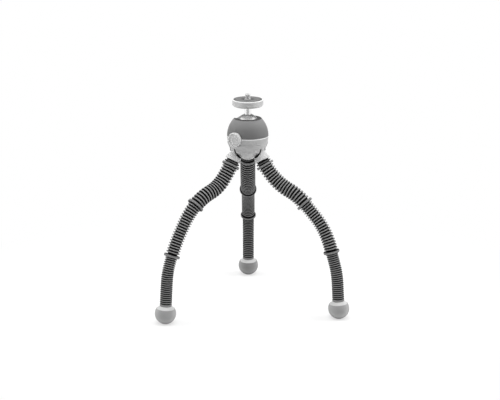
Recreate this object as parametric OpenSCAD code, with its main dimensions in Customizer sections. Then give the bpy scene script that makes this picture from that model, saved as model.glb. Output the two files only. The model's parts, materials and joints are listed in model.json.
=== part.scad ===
// Flexible-leg tripod: a small ball head on a moulded hub, carried by three ribbed legs that bend
// and stay bent. Millimetres, +Z up, front towards -Y. The origin is the point on the floor under
// the head's axis, and every foot stands on Z = 0.

/* [Camera plate] */
// Outside diameter of the camera plate
plate_d = 35; // [33:0.5:40]
// Height of the camera plate
plate_h = 7.9; // [7.2:0.1:9]
// Bevel round the plate's upper edge
plate_bevel = 0.8; // [0.3:0.1:1.2]
// Bevel round the plate's lower edge
plate_under_bevel = 1.8; // [0.5:0.1:2.2]
// Diameter of the rubber pad let into the plate
pad_d = 31.8; // [28:0.1:32]
// Thickness of the pad
pad_t = 1.5; // [1:0.1:2]
// Height of the pad above the plate's rim
pad_proud = 0.2; // [0:0.05:0.5]
// Diameter of the camera screw
screw_d = 6.35; // [6:0.05:7]
// Reach of the camera screw above the pad
screw_reach = 6; // [4.5:0.1:7.5]
// Bevel at the tip of the camera screw
screw_bevel = 0.7; // [0.3:0.1:1]
// Diameter of the screw's shoulder in the pad
shoulder_d = 8; // [7.4:0.1:9]
// Diameter of the screw's flange under the pad
flange_d = 14; // [10:0.5:18]
// Thickness of the screw's flange
flange_t = 1.6; // [1:0.1:2]

/* [Ball and neck] */
// Diameter of the ball
ball_d = 27.6; // [27:0.1:28]
// Height of the ball's centre above the hub's parting line
ball_h = 11.2; // [11:0.1:11.6]
// Diameter of the neck between ball and plate
neck_d = 8.2; // [7.5:0.1:10]
// Height of the plate's underside above the parting line
plate_lift = 33.6; // [32:0.1:38]
// Diameter of the neck's stud in the plate
stud_d = 6; // [5:0.1:7]
// Length of the neck's stud in the plate
stud_h = 3; // [2:0.1:3.5]

/* [Dome] */
// Largest diameter of the hub, at its parting line
hub_d = 46.9; // [46:0.1:50]
// Width of the dome's rim, from its mouth to its outer edge
rim_w = 4.05; // [3:0.05:5]
// Height of the dome's rim above the parting line
rim_h = 20; // [19.6:0.1:20.4]
// Height of the plain edge round the dome's mouth
mouth_edge = 0.2; // [0.1:0.05:0.5]
// Thickness of the lip round the mouth
lip_t = 2.4; // [1.8:0.1:3]
// Thickness of the friction ring at the ball's widest place
ring_t = 1.4; // [1:0.1:2]
// Thickness of the dome's spigot in the lower shell
spigot_t = 2.2; // [1.6:0.1:2.6]
// Depth of the dome's spigot in the lower shell
spigot_h = 3.5; // [2.5:0.1:4]
// Height of the friction ring round the ball
ring_h = 8; // [6:0.5:9]
// Radius of the round notch in the dome's rim
notch_r = 8; // [7:0.1:9]
// Height of the notch's middle above the rim
notch_lift = 3.5; // [3:0.1:4.5]
// Direction of the notch, towards the back on the left
notch_turn = 150; // [140:1:160]

/* [Lower shell] */
// Depth of the bowl under the parting line
bowl_h = 17; // [16.4:0.1:17.4]
// Distance inside the hub's widest place of the bowl's upright lower edge
skirt_sink = 3.2; // [3:0.05:3.5]
// Depth of the shell under the parting line, at its middle
shell_h = 24; // [23:0.5:25]
// Depth of the recess between the leg sockets, from the hub's widest place
waist_sink = 6.45; // [5.5:0.05:7]
// Slope of the recess, as the difference of its radii
waist_taper = 6; // [4:0.1:7]
// Depth of the inside of the shell under the ball seat
cavity_h = 7.4; // [7.2:0.1:7.8]
// Depth under the parting line of the upper edge of each shield
shield_top = 7.6; // [6:0.1:9]
// Depth under the parting line of the middle of each shield
shield_mid = 10.6; // [10:0.1:11]
// Radius of each shield's round outline
shield_r = 14.4; // [13.8:0.1:14.8]
// How far a shield stands proud of the bowl
shield_proud = 0.6; // [0.3:0.1:1]
// Radius of a shield's turned-in lower part
shield_turn_r = 14.2; // [13:0.1:15]
// Depth under the parting line where a shield starts to turn in
shield_turn_h = 12.3; // [11:0.1:13]
// Distance inside the hub's widest place of a shield's back, at its middle
shield_deep = 7.85; // [7.4:0.05:8.2]
// Slope of a shield's back from upright
shield_slope = 22; // [20:0.5:24]
// Width of the slot round the lower part of a shield
slot_w = 1.4; // [1:0.1:1.6]
// Depth under the parting line at which that slot begins
slot_top = 13; // [12:0.1:14]
// How far that slot goes in behind the shield's back
slot_deep = 3.4; // [3:0.1:3.6]

/* [Ball lock] */
// Direction of the lock knob, turned to the left of the front
knob_turn = 38; // [30:1:42]
// Depth of the knob's axis under the parting line
knob_h = 1; // [0.5:0.1:1.5]
// Diameter of the lock knob
knob_d = 16.2; // [14:0.1:17]
// Thickness of the lock knob
knob_t = 5.1; // [4.5:0.1:7]
// Depth of the knob's seat in the side of the hub
knob_sink = 2.85; // [2:0.05:3.5]
// Bevel round the knob's face
knob_bevel = 0.8; // [0.4:0.1:1.2]
// Width of the rim round the knob's dished face
knob_rim = 1.5; // [1:0.1:2]
// Depth of the knob's dished face
knob_dish = 0.4; // [0.2:0.05:0.6]
// Number of grip dimples in the knob's face
dimples = 8; // [6:1:10]
// Diameter of a grip dimple
dimple_d = 1.9; // [1:0.1:2.2]
// Depth of a grip dimple
dimple_h = 0.5; // [0.2:0.05:0.6]
// Radius of the ring of grip dimples
dimple_ring_r = 4.5; // [4:0.1:5]
// Diameter of the lock screw
lock_d = 5; // [4:0.1:5.4]
// Depth of the lock screw's tip in the ball seat
lock_reach = 3.5; // [3:0.1:4]
// Length of the lock screw's conical tip
lock_cone = 1.5; // [1.2:0.1:1.8]
// Length of the lock screw inside the knob
lock_grip = 3.4; // [2.5:0.1:3.6]
// Width across the flats of the square nut
nut_w = 8; // [7:0.1:8.4]
// Thickness of the square nut
nut_t = 2.6; // [2:0.1:2.8]
// Thickness of the ball seat under the ball
seat_floor = 2.6; // [2:0.1:3]
// Height of the ball seat's rim above the parting line
seat_rim = 5; // [4:0.1:5.5]

/* [Leg anchor] */
// Thickness of the leg anchor at the bottom of the shell
anchor_t = 4.2; // [3.6:0.1:4.6]
// Distance of the anchor screws from the edge of the anchor
anchor_screw_edge = 5.1; // [4:0.1:6]
// Diameter of an anchor screw
anchor_screw_d = 3; // [2.5:0.1:3.5]
// Length of an anchor screw under its head
anchor_screw_h = 11; // [8:0.5:12]
// Diameter of an anchor screw's head
anchor_head_d = 5.4; // [4.6:0.1:6]
// Height of an anchor screw's head
anchor_head_h = 1.8; // [1.4:0.1:2]

/* [Leg sockets] */
// Distance inside the hub's widest place at which a leg leaves its socket
socket_sink = 3.65; // [3:0.05:4.2]
// Depth under the parting line at which a leg leaves its socket
socket_drop = 27.8; // [27:0.1:29]
// Angle between a socket and straight down
socket_lean = 30; // [28:0.5:32]
// Length of a socket's flared outside
flare_h = 8.2; // [7.6:0.1:8.6]
// Diameter of a socket where it leaves the shell
flare_top_d = 12.4; // [11.8:0.1:13]
// Diameter of a socket's flare above its lip
flare_d = 17.9; // [17.4:0.1:18.3]
// Diameter of a socket's lip
socket_lip_d = 18.4; // [18:0.1:19]
// Height of a socket's lip
socket_lip_h = 1.4; // [1:0.1:2]
// Diameter of a socket's stem in the shell
stem_d = 10; // [9:0.1:10.6]
// Length of a socket's stem in the shell
stem_h = 3.8; // [3:0.1:4]
// Diameter of the sleeve's plug in the mouth of its socket
plug_d = 14.7; // [13:0.1:15]
// Length of the sleeve's plug in the mouth of its socket
plug_h = 3; // [2:0.1:3.5]
// Diameter of the sleeve's tail behind the plug
tail_d = 7; // [6.5:0.1:7.4]

/* [Leg sleeves] */
// Number of ribs in the upper part of a leg
upper_ribs = 17; // [15:1:19]
// Number of ribs in the middle part of a leg
middle_ribs = 19; // [17:1:21]
// Number of ribs in the lower part of a leg
lower_ribs = 22; // [20:1:24]
// Rib spacing in the upper part
upper_pitch = 3.5; // [3.3:0.05:3.8]
// Rib spacing in the middle part
middle_pitch = 3.1; // [2.9:0.05:3.3]
// Rib spacing in the lower part
lower_pitch = 2.4; // [2.2:0.05:2.6]
// Rib diameter in the upper part
upper_d = 17.5; // [16.5:0.1:18.5]
// Rib diameter in the middle part
middle_d = 15.6; // [14.8:0.1:16.4]
// Rib diameter in the lower part
lower_d = 13.8; // [13:0.1:14.6]
// Depth of the grooves between ribs
groove_h = 1.8; // [1.2:0.1:2.2]
// Share of the spacing that a rib takes
rib_share = 0.45; // [0.4:0.01:0.5]
// Bevel along a rib's crest
rib_bevel = 0.3; // [0.1:0.05:0.4]
// Diameter of the collar at the top of the upper part
upper_collar_d = 20.5; // [19.5:0.1:21.5]
// Diameter of the collar at the top of the middle part
middle_collar_d = 20; // [19:0.1:21]
// Diameter of the collar at the top of the lower part
lower_collar_d = 18.3; // [17.3:0.1:19.3]
// Thickness of a collar
collar_t = 2.6; // [2:0.1:3]
// Bevel along a collar's edge
collar_bevel = 0.8; // [0.3:0.1:0.9]
// Gap between a collar and the next rib of its own part
collar_gap = 1.2; // [1:0.1:1.6]
// Space between a collar and the part above it
collar_space = 2.2; // [1.8:0.1:2.6]
// Diameter of the plain band at a leg's lower end
band_d = 13.6; // [12.6:0.1:14.6]
// Height of the plain band at a leg's lower end
band_t = 2.6; // [2:0.1:3.2]
// Diameter of the bendable wire in a leg
wire_d = 3.6; // [3:0.1:4]

/* [Feet] */
// Diameter of a foot
foot_d = 24; // [22:0.1:26]
// Depth of the flat that a foot stands on
foot_flat = 0.4; // [0.2:0.05:0.8]
// Height of the cap on a foot
cap_h = 3; // [2.4:0.1:3.6]
// Diameter of the cap where it meets the leg
cap_top_d = 13.2; // [12:0.1:14]
// Width of the pad's rim left uncovered by the cap
cap_ledge = 0.4; // [0.2:0.1:1]
// Distance from a leg's lower end to the middle of its foot
foot_reach = 9; // [8.6:0.1:10]
// Diameter of the cap's peg in the foot
peg_d = 12; // [10:0.1:13]
// Length of the cap's peg in the foot
peg_h = 4; // [3:0.1:5]
// Depth of the wire's end in the foot
wire_grip = 6; // [4:0.1:6.4]

/* [Clearances] */
// Gap between pieces that are fixed together
fit = 0.1; // [0.05:0.01:0.15]
// Gap round a screw or wire that passes through a piece
pass = 0.3; // [0.2:0.05:0.4]
// Gap between the ball and what it turns in
ball_gap = 0.2; // [0.1:0.05:0.3]
// Running gap of the lock screw in its nut and knob
run = 0.05; // [0.02:0.01:0.1]

/* [Hidden] */
$fn = 64;
over = 1;

// Directions of the legs round the head, and how far each then turns aside
sides = ["left", "right", "rear"];
leg_turn = [-150, -30, 90];
leg_aside = [6, 6.5, -0.3];

// How the legs are bent at rest: the angle from straight down at the top of each link, and at the end
leg_bends = [
    [socket_lean, 40, 71, 51, 33, 28, 22, 16, 6, 4, 4],
    [socket_lean, 46, 66, 45, 42, 28, 15, 17, 8, 3, 4],
    [socket_lean, 33, 44, 54, 55, 43, 24, 8, 2, 3, 4]
];
straight = 0.01;

// Each zone of a leg, from the top
zones = ["upper", "middle", "lower"];
zone_links = [3, 3, 4];
zone_ribs = [upper_ribs, middle_ribs, lower_ribs];
zone_pitch = [upper_pitch, middle_pitch, lower_pitch];
zone_rib_r = [upper_d / 2, middle_d / 2, lower_d / 2];
zone_collar_r = [upper_collar_d / 2, middle_collar_d / 2, lower_collar_d / 2];
function rib_t(z) = zone_pitch[z] * rib_share;
function groove(z) = zone_pitch[z] - rib_t(z);
function core_r(z) = zone_rib_r[z] - groove_h;
wire_r = wire_d / 2;
wire_bore_r = wire_r + pass;
tube_bore_r = wire_bore_r + fit;
tube_inset = 0.2;

// Places along a leg, measured from where it leaves its socket
function collar_at(z) = z == 0
    ? upper_pitch / 2 + rib_t(0) / 2 + collar_gap + collar_t / 2
    : rib_at(z - 1, zone_ribs[z - 1] - 1) + rib_t(z - 1) / 2 + collar_space + collar_t / 2;
function rib_at(z, i) = collar_at(z) + collar_t / 2 + collar_gap + rib_t(z) / 2 + zone_pitch[z] * i;
band_at = rib_at(2, lower_ribs - 1) + rib_t(2) / 2 + groove(2) + band_t / 2;
leg_h = band_at + band_t / 2;

// Rings of one link, each as [place, radius, thickness, bevel]
function rib_ring(z, s) = [s, zone_rib_r[z], rib_t(z), rib_bevel];
function collar_ring(z) = [collar_at(z), zone_collar_r[z], collar_t, collar_bevel];
function first_rib(z, k) = floor(k * zone_ribs[z] / zone_links[z]);
function link_rings(z, k) = concat(
    z == 0 && k == 0 ? [rib_ring(0, upper_pitch / 2)] : [],
    k == 0 ? [collar_ring(z)] : [],
    [for (i = [first_rib(z, k) : first_rib(z, k + 1) - 1]) rib_ring(z, rib_at(z, i))],
    z == 2 && k == zone_links[2] - 1 ? [[band_at, band_d / 2, band_t, rib_bevel]] : []
);

// Links in order down the leg, and the middle of the groove above each one
link_list = [for (z = [0 : 2]) for (k = [0 : zone_links[z] - 1]) [z, k]];
link_count = len(link_list);
function rings_of(n) = link_rings(link_list[n][0], link_list[n][1]);
function top_of(n) = let (r = rings_of(n)[0]) r[0] - r[2] / 2;
function end_of(n) = let (l = rings_of(n), r = l[len(l) - 1]) r[0] + r[2] / 2;
cuts = concat(
    [0],
    [for (n = [1 : link_count - 1]) (end_of(n - 1) + top_of(n)) / 2],
    [leg_h]
);

// A leg's centreline is a run of arcs. A point is [outward, up, angle from straight down].
function arc_point(p, a, b, length, s) =
    let (turn = (b - a) / length, c = a + turn * s)
    abs(b - a) < straight
        ? [p[0] + s * sin(a), p[1] - s * cos(a), a]
        : let (r = 180 / PI / turn) [p[0] + r * (cos(a) - cos(c)), p[1] + r * (sin(a) - sin(c)), c];
function knots(bends, n = 0, p = [0, 0]) = n == link_count
    ? [[p[0], p[1], bends[n]]]
    : let (length = cuts[n + 1] - cuts[n], q = arc_point(p, bends[n], bends[n + 1], length, length))
        concat([[p[0], p[1], bends[n]]], knots(bends, n + 1, q));

// The left and right legs lean a little more or less, so that all three feet reach the floor
function leaning(bends, lean) = [for (i = [0 : link_count]) i == 0 ? bends[i] : bends[i] + lean];
function foot_drop(bends) = let (e = knots(bends)[link_count]) foot_reach * cos(e[2]) - e[1];
function lean_to(bends, drop, low, high, tries) =
    let (mid = (low + high) / 2)
    tries == 0 ? mid
    : foot_drop(leaning(bends, mid)) > drop ? lean_to(bends, drop, mid, high, tries - 1)
    : lean_to(bends, drop, low, mid, tries - 1);
rear_drop = foot_drop(leg_bends[2]);
most_lean = 12;
lean_tries = 30;
rest_bends = [for (b = leg_bends) leaning(b, lean_to(b, rear_drop, -most_lean, most_lean, lean_tries))];
rest_knots = [for (b = rest_bends) knots(b)];
function link_at(leg, s) = max([for (n = [0 : link_count - 1]) cuts[n] <= s || n == 0 ? n : 0]);
function leg_point(leg, s) =
    let (
        n = link_at(leg, s),
        b = rest_bends[leg],
        from_top = s - cuts[n],
        whole = cuts[n + 1] - cuts[n]
    )
    s <= 0 ? [s * sin(b[0]), -s * cos(b[0]), b[0]]
    : s >= leg_h ? straight_on(rest_knots[leg][link_count], s - leg_h)
    : arc_point(rest_knots[leg][n], b[n], b[n + 1], whole, from_top);
function straight_on(p, s) = [p[0] + s * sin(p[2]), p[1] - s * cos(p[2]), p[2]];

// Hub sizes that follow from the ball and from the hub's width
bore_d = ball_d + 2 * ring_t;
spigot_d = bore_d + 2 * spigot_t;
ball_space_r = ball_d / 2 + pass;
mouth_r = sqrt(pow(ball_space_r, 2) - pow(rim_h - mouth_edge - ball_h, 2));
rim_r = mouth_r + rim_w;
side_mid = (pow(hub_d / 2, 2) - pow(rim_r, 2) - pow(rim_h, 2)) / (hub_d - 2 * rim_r);
side_r = hub_d / 2 - side_mid;
seat_h = ball_d / 2 + ball_gap - ball_h + seat_floor;
cavity_floor = seat_h + cavity_h;
skirt_r = hub_d / 2 - skirt_sink;
shield_back = hub_d / 2 - shield_deep;
shield_turn_at = side_mid + sqrt(pow(side_r + shield_proud, 2) - pow(shield_turn_h, 2));
waist_r = hub_d / 2 - waist_sink;
underside_r = waist_r - waist_taper;
socket_r = hub_d / 2 - socket_sink;
knob_seat = hub_d / 2 - knob_sink;
lock_tip = bore_d / 2 - lock_reach;
nut_at = (bore_d / 2 + knob_seat - nut_t) / 2;
anchor_screw_ring = bore_d / 2 - anchor_screw_edge;

// Heights
foot_r = foot_d / 2;
head_z = foot_r - foot_flat + rear_drop + socket_drop;
pad_top = plate_lift + plate_h + pad_proud;
flange_z = pad_top - pad_t - flange_t;
anchor_top = -cavity_floor + fit + anchor_t;

// Frames
module head() translate([0, 0, head_z]) children();
module leg_frame(leg)
    rotate([0, 0, leg_turn[leg]])
        translate([socket_r, 0, head_z - socket_drop])
            rotate([0, 0, leg_aside[leg]])
                children();
module leg_place(leg, s) {
    p = leg_point(leg, s);
    leg_frame(leg) translate([p[0], 0, p[1]]) rotate([0, 180 - p[2], 0]) children();
}
module socket_frame(leg)
    rotate([0, 0, leg_turn[leg]])
        translate([socket_r, 0, -socket_drop])
            rotate([0, 180 - socket_lean, 0])
                children();
module knob_frame() translate([0, 0, -knob_h]) rotate([0, 0, -90 - knob_turn]) rotate([0, 90, 0]) children();
module three_ways() for (i = [0 : 2]) rotate([0, 0, 120 * i]) children();

// Camera screw with the flange that the pad covers
module camera_screw() color("silver") head() {
    tip = pad_top + screw_reach;
    rotate_extrude() polygon([
        [0, flange_z], [flange_d / 2, flange_z], [flange_d / 2, flange_z + flange_t],
        [shoulder_d / 2, flange_z + flange_t], [shoulder_d / 2, pad_top],
        [screw_d / 2, pad_top], [screw_d / 2, tip - screw_bevel],
        [screw_d / 2 - screw_bevel, tip], [0, tip]
    ]);
}

// Rubber pad that grips the camera's base
module plate_pad() color("dimgray") head() {
    hole_r = shoulder_d / 2 + fit;
    rotate_extrude()
        translate([hole_r, pad_top - pad_t])
            square([pad_d / 2 - hole_r, pad_t]);
}

// Camera plate: a rimmed disc
module top_plate() color("darkgray") head() difference() {
    r = plate_d / 2;
    top = plate_lift + plate_h;
    rotate_extrude() polygon([
        [0, plate_lift], [r - plate_under_bevel, plate_lift], [r, plate_lift + plate_under_bevel],
        [r, top - plate_bevel], [r - plate_bevel, top], [0, top]
    ]);
    translate([0, 0, pad_top - pad_t]) cylinder(d = pad_d + 2 * fit, h = pad_t + over);
    translate([0, 0, flange_z]) cylinder(d = flange_d + 2 * fit, h = flange_t + over);
    translate([0, 0, plate_lift - over]) cylinder(d = stud_d + 2 * fit, h = stud_h + fit + over);
}

// Ball, neck and stud, turned in one piece
module ball_stem() color("gainsboro") head() {
    translate([0, 0, ball_h]) sphere(d = ball_d);
    translate([0, 0, ball_h]) cylinder(d = neck_d, h = plate_lift - ball_h);
    translate([0, 0, ball_h]) cylinder(d = stud_d, h = plate_lift - ball_h + stud_h);
}

// Friction ring between the ball and the dome, which turns with the ball
module ball_ring() color("whitesmoke") head() difference() {
    top = rim_h - lip_t - fit;
    translate([0, 0, top - ring_h]) cylinder(d = bore_d - 2 * fit, h = ring_h);
    translate([0, 0, ball_h]) sphere(d = ball_d + 2 * ball_gap);
}

// Side of the hub, an arc in outline
module hub_outline(grow = 0) translate([side_mid, 0]) circle(side_r + grow);

// What the lock screw, its nut and its knob need in the hub
module lock_space() knob_frame() {
    cylinder(d = lock_d + 2 * pass, h = hub_d);
    translate([0, 0, knob_seat]) cylinder(d = knob_d + 2 * pass, h = hub_d);
    side = nut_w + 2 * fit;
    translate([-side / 2, -side / 2, nut_at - fit]) cube([side, side, nut_t + 2 * fit]);
}

// Dome that holds the ball down
module upper_dome() color("dimgray") head() difference() {
    union() {
        rotate_extrude() intersection() {
            hub_outline();
            square([hub_d, rim_h]);
        }
        translate([0, 0, -spigot_h]) cylinder(d = spigot_d, h = spigot_h + over);
    }
    translate([0, 0, -spigot_h - over]) cylinder(d = bore_d, h = spigot_h + over + rim_h - lip_t);
    cylinder(r = mouth_r, h = rim_h + over);
    translate([0, 0, ball_h]) sphere(r = ball_space_r);
    rotate([0, 0, notch_turn]) translate([0, 0, rim_h + notch_lift])
        rotate([0, 90, 0]) cylinder(r = notch_r, h = hub_d);
    lock_space();
}

// A shield's round outline, seen from its front
module shield_front(grow = 0)
    translate([0, 0, -shield_mid]) rotate([90, 0, 0]) cylinder(r = shield_r + grow, h = hub_d);

// One of the three shields between the leg sockets
module shield() intersection() {
    rotate_extrude() intersection() {
        hub_outline(shield_proud);
        union() {
            translate([0, -shield_turn_h]) square([hub_d, shield_turn_h - shield_top]);
            intersection() {
                translate([shield_turn_at - shield_turn_r, -shield_turn_h]) circle(shield_turn_r);
                translate([0, -shield_turn_h - shield_turn_r]) square([hub_d, shield_turn_r]);
            }
        }
    }
    shield_front();
}

// All that lies within a shield's outline and in front of its sloping back
module shield_block(grow = 0, deeper = 0) intersection() {
    shield_front(grow);
    translate([0, deeper - shield_back, -shield_mid]) rotate([shield_slope, 0, 0])
        translate([-hub_d, -2 * hub_d, -hub_d]) cube([2 * hub_d, 2 * hub_d, 2 * hub_d]);
}

// Slot round the lower part of a shield
module shield_slot() difference() {
    intersection() {
        shield_block(slot_w, slot_deep);
        translate([-hub_d, -2 * hub_d, -hub_d - slot_top]) cube([2 * hub_d, 2 * hub_d, hub_d]);
    }
    shield_front();
}

// Room for a leg socket, its stem and the wire, in the socket's own frame
module socket_space() {
    lip_end = -groove(0) / 2;
    flare_end = lip_end - socket_lip_h;
    seat = flare_end - flare_h + fit;
    rotate_extrude() polygon([
        [0, seat - stem_h - fit], [stem_d / 2 + fit, seat - stem_h - fit], [stem_d / 2 + fit, seat - fit],
        [flare_top_d / 2 + pass, seat - fit], [socket_lip_d / 2 + pass, flare_end],
        [socket_lip_d / 2 + pass, socket_drop], [0, socket_drop]
    ]);
    translate([0, 0, -socket_drop]) cylinder(r = wire_bore_r, h = socket_drop);
}

// Lower shell of the hub: bowl, recessed waist and three shields
module lower_shell() color("lightgray") head() difference() {
    union() {
        rotate_extrude() intersection() {
            union() {
                hub_outline();
                translate([0, -bowl_h]) square([skirt_r, bowl_h]);
            }
            translate([0, -bowl_h]) square([hub_d, bowl_h]);
        }
        translate([0, 0, -shell_h]) cylinder(r1 = underside_r, r2 = waist_r, h = shell_h - bowl_h + over);
        three_ways() shield();
    }
    for (leg = [0 : 2]) difference() {
        socket_frame(leg) socket_space();
        three_ways() shield_block();
    }
    three_ways() shield_slot();
    translate([0, 0, -spigot_h - fit]) cylinder(d = spigot_d + 2 * fit, h = spigot_h + fit + over);
    translate([0, 0, -cavity_floor]) cylinder(d = bore_d, h = cavity_floor + over);
    anchor_screw_places() translate([0, 0, -anchor_screw_h - fit])
        cylinder(d = anchor_screw_d + 2 * fit, h = anchor_screw_h + fit);
    lock_space();
}

// Cup under the ball, lifted by the lock screw's conical tip
module ball_seat() color("whitesmoke") head() difference() {
    translate([0, 0, -seat_h]) cylinder(d = bore_d - 2 * ball_gap, h = seat_h + seat_rim);
    translate([0, 0, ball_h]) sphere(d = ball_d + 2 * ball_gap);
    tip_r = lock_d / 2 - lock_cone;
    room = 2 * ball_gap;
    knob_frame() rotate_extrude() polygon([
        [0, lock_tip - ball_gap], [tip_r + ball_gap, lock_tip - ball_gap],
        [lock_d / 2 + room + ball_gap, lock_tip + lock_cone + room - ball_gap],
        [lock_d / 2 + room + ball_gap, bore_d], [0, bore_d]
    ]);
}

// Square nut held between dome and shell
module knob_nut() color("goldenrod") head() knob_frame() difference() {
    translate([-nut_w / 2, -nut_w / 2, nut_at]) cube([nut_w, nut_w, nut_t]);
    translate([0, 0, nut_at - over]) cylinder(d = lock_d + 2 * run, h = nut_t + 2 * over);
}

// Screw that the knob drives against the ball seat
module knob_screw() color("silver") head() knob_frame() {
    rotate_extrude() polygon([
        [0, lock_tip], [lock_d / 2 - lock_cone, lock_tip], [lock_d / 2, lock_tip + lock_cone],
        [lock_d / 2, knob_seat + pass + lock_grip], [0, knob_seat + pass + lock_grip]
    ]);
}

// Lock knob with a dished face and a ring of grip dimples
module lock_knob() color("lightgray") head() knob_frame() difference() {
    back = knob_seat + pass;
    face = back + knob_t;
    dish_r = knob_d / 2 - knob_bevel - knob_rim;
    rotate_extrude() polygon([
        [0, back + lock_grip + fit], [lock_d / 2 + run, back + lock_grip + fit], [lock_d / 2 + run, back],
        [knob_d / 2, back], [knob_d / 2, face - knob_bevel], [knob_d / 2 - knob_bevel, face],
        [dish_r + knob_dish, face], [dish_r, face - knob_dish], [0, face - knob_dish]
    ]);
    for (i = [0 : dimples - 1])
        rotate([0, 0, 360 * (i + 0.5) / dimples])
            translate([dimple_ring_r, 0, face - knob_dish - dimple_h])
                cylinder(d = dimple_d, h = knob_dish + dimple_h + over);
}

// Places of the anchor screws, at the underside of their heads
module anchor_screw_places()
    three_ways() translate([0, -anchor_screw_ring, anchor_top]) children();

// Casting in the shell that grips the upper ends of the leg wires
module leg_anchor() color("slategray") head() difference() {
    translate([0, 0, anchor_top - anchor_t]) cylinder(d = bore_d - 2 * fit, h = anchor_t);
    for (leg = [0 : 2]) socket_frame(leg) translate([0, 0, -socket_drop]) cylinder(r = wire_r + fit, h = socket_drop);
    anchor_screw_places() translate([0, 0, -anchor_t - over])
        cylinder(d = anchor_screw_d + 2 * fit, h = anchor_t + 2 * over);
}

// Three screws that hold the anchor in the shell
module anchor_screws() color("silver") head() anchor_screw_places() {
    translate([0, 0, -anchor_screw_h]) cylinder(d = anchor_screw_d, h = anchor_screw_h + over);
    cylinder(d = anchor_head_d, h = anchor_head_h);
}

// Flared socket that a leg leaves the hub by, cut back where the shields cover it
module leg_socket(leg) color("gainsboro") head() difference() {
    mouth = -groove(0) / 2;
    flare_end = mouth - socket_lip_h;
    seat = flare_end - flare_h + fit;
    plug_end = mouth - fit - plug_h - fit;
    socket_frame(leg) rotate_extrude() polygon([
        [tail_d / 2 + fit, seat - stem_h], [stem_d / 2, seat - stem_h], [stem_d / 2, seat],
        [flare_top_d / 2, seat], [flare_d / 2, flare_end], [socket_lip_d / 2, flare_end],
        [socket_lip_d / 2, mouth], [plug_d / 2 + fit, mouth], [plug_d / 2 + fit, plug_end],
        [tail_d / 2 + fit, plug_end]
    ]);
    three_ways() shield_block(slot_w, pass);
}

// Upper end of a leg's sleeve, held in the socket
module sleeve_root(leg) color("dimgray") head() socket_frame(leg) {
    mouth = -groove(0) / 2;
    seat = mouth - socket_lip_h - flare_h + fit;
    plug_end = mouth - fit - plug_h;
    rotate_extrude() polygon([
        [wire_bore_r, seat - stem_h], [tail_d / 2, seat - stem_h], [tail_d / 2, plug_end],
        [plug_d / 2, plug_end], [plug_d / 2, mouth - fit], [wire_bore_r, mouth - fit]
    ]);
}

// A rib, collar or band of a sleeve
module sleeve_ring(r, t, bevel) rotate_extrude() polygon([
    [wire_bore_r, -t / 2], [r - bevel, -t / 2], [r, bevel - t / 2],
    [r, t / 2 - bevel], [r - bevel, t / 2], [wire_bore_r, t / 2]
]);

// Stretch of sleeve between two rings, which ends inside them
module sleeve_tube(p, q, r) {
    d = [q[0] - p[0], q[1] - p[1]];
    translate([p[0], 0, p[1]]) rotate([0, 180 - atan2(d[0], -d[1]), 0]) translate([0, 0, tube_inset])
        rotate_extrude() translate([tube_bore_r, 0]) square([r - tube_bore_r, norm(d) - 2 * tube_inset]);
}

// One link of a leg's ribbed sleeve
module sleeve_link(leg, n) color("gray") {
    rings = rings_of(n);
    r = core_r(link_list[n][0]);
    for (g = rings) leg_place(leg, g[0]) sleeve_ring(g[1], g[2], g[3]);
    leg_frame(leg) for (i = [1 : len(rings) - 1])
        sleeve_tube(leg_point(leg, rings[i - 1][0]), leg_point(leg, rings[i][0]), r);
}

// Bendable wire inside a leg, from the anchor to the foot
wire_sides = 8;
wire_step = 6;
wire_top = -(socket_drop + anchor_top) / cos(socket_lean);
wire_end = leg_h + wire_grip;
wire_rings = ceil((wire_end - wire_top) / wire_step);
function turned(p, a) = [p[0] * cos(a) - p[1] * sin(a), p[0] * sin(a) + p[1] * cos(a), p[2]];
function wire_ring(leg, s) =
    let (p = leg_point(leg, s), back = s < 0 ? -leg_aside[leg] : 0)
    [
        for (j = [0 : wire_sides - 1])
            let (a = 360 * j / wire_sides, x = wire_r * cos(a))
            turned([p[0] + x * cos(p[2]), wire_r * sin(a), p[1] + x * sin(p[2])], back)
    ];
module core_wire(leg) color("silver") leg_frame(leg) {
    n = wire_sides;
    last = n * wire_rings;
    points = [
        for (i = [0 : wire_rings])
            each wire_ring(leg, wire_top + (wire_end - wire_top) * i / wire_rings)
    ];
    ends = concat(
        [for (j = [1 : n - 2]) [0, j + 1, j]],
        [for (j = [1 : n - 2]) [last, last + j, last + j + 1]]
    );
    walls = [
        for (i = [0 : wire_rings - 1]) for (j = [0 : n - 1])
            let (a = n * i + j, b = n * i + (j + 1) % n)
            each [[a, b, a + n], [b, b + n, a + n]]
    ];
    polyhedron(points, concat(ends, walls), convexity = 6);
}

// Pale cap that joins a foot to its leg
module foot_cap(leg) color("gainsboro") leg_place(leg, leg_h) {
    rim_r = sqrt(pow(foot_r, 2) - pow(foot_reach - cap_h, 2)) - cap_ledge;
    rotate_extrude() polygon([
        [wire_r + fit, fit], [cap_top_d / 2, fit], [rim_r, cap_h], [peg_d / 2, cap_h],
        [peg_d / 2, cap_h + peg_h], [0, cap_h + peg_h], [0, wire_grip + fit], [wire_r + fit, wire_grip + fit]
    ]);
}

// Round rubber foot with the flat that it stands on
module foot_pad(leg) color("darkgray") difference() {
    leg_place(leg, leg_h) difference() {
        rotate_extrude() intersection() {
            translate([0, foot_reach]) circle(foot_r);
            translate([0, cap_h + fit]) square([foot_d, foot_d]);
        }
        cylinder(d = peg_d + 2 * fit, h = cap_h + peg_h + fit);
    }
    translate([-foot_d * foot_d, -foot_d * foot_d, -foot_d]) cube([2 * foot_d * foot_d, 2 * foot_d * foot_d, foot_d]);
}

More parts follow.
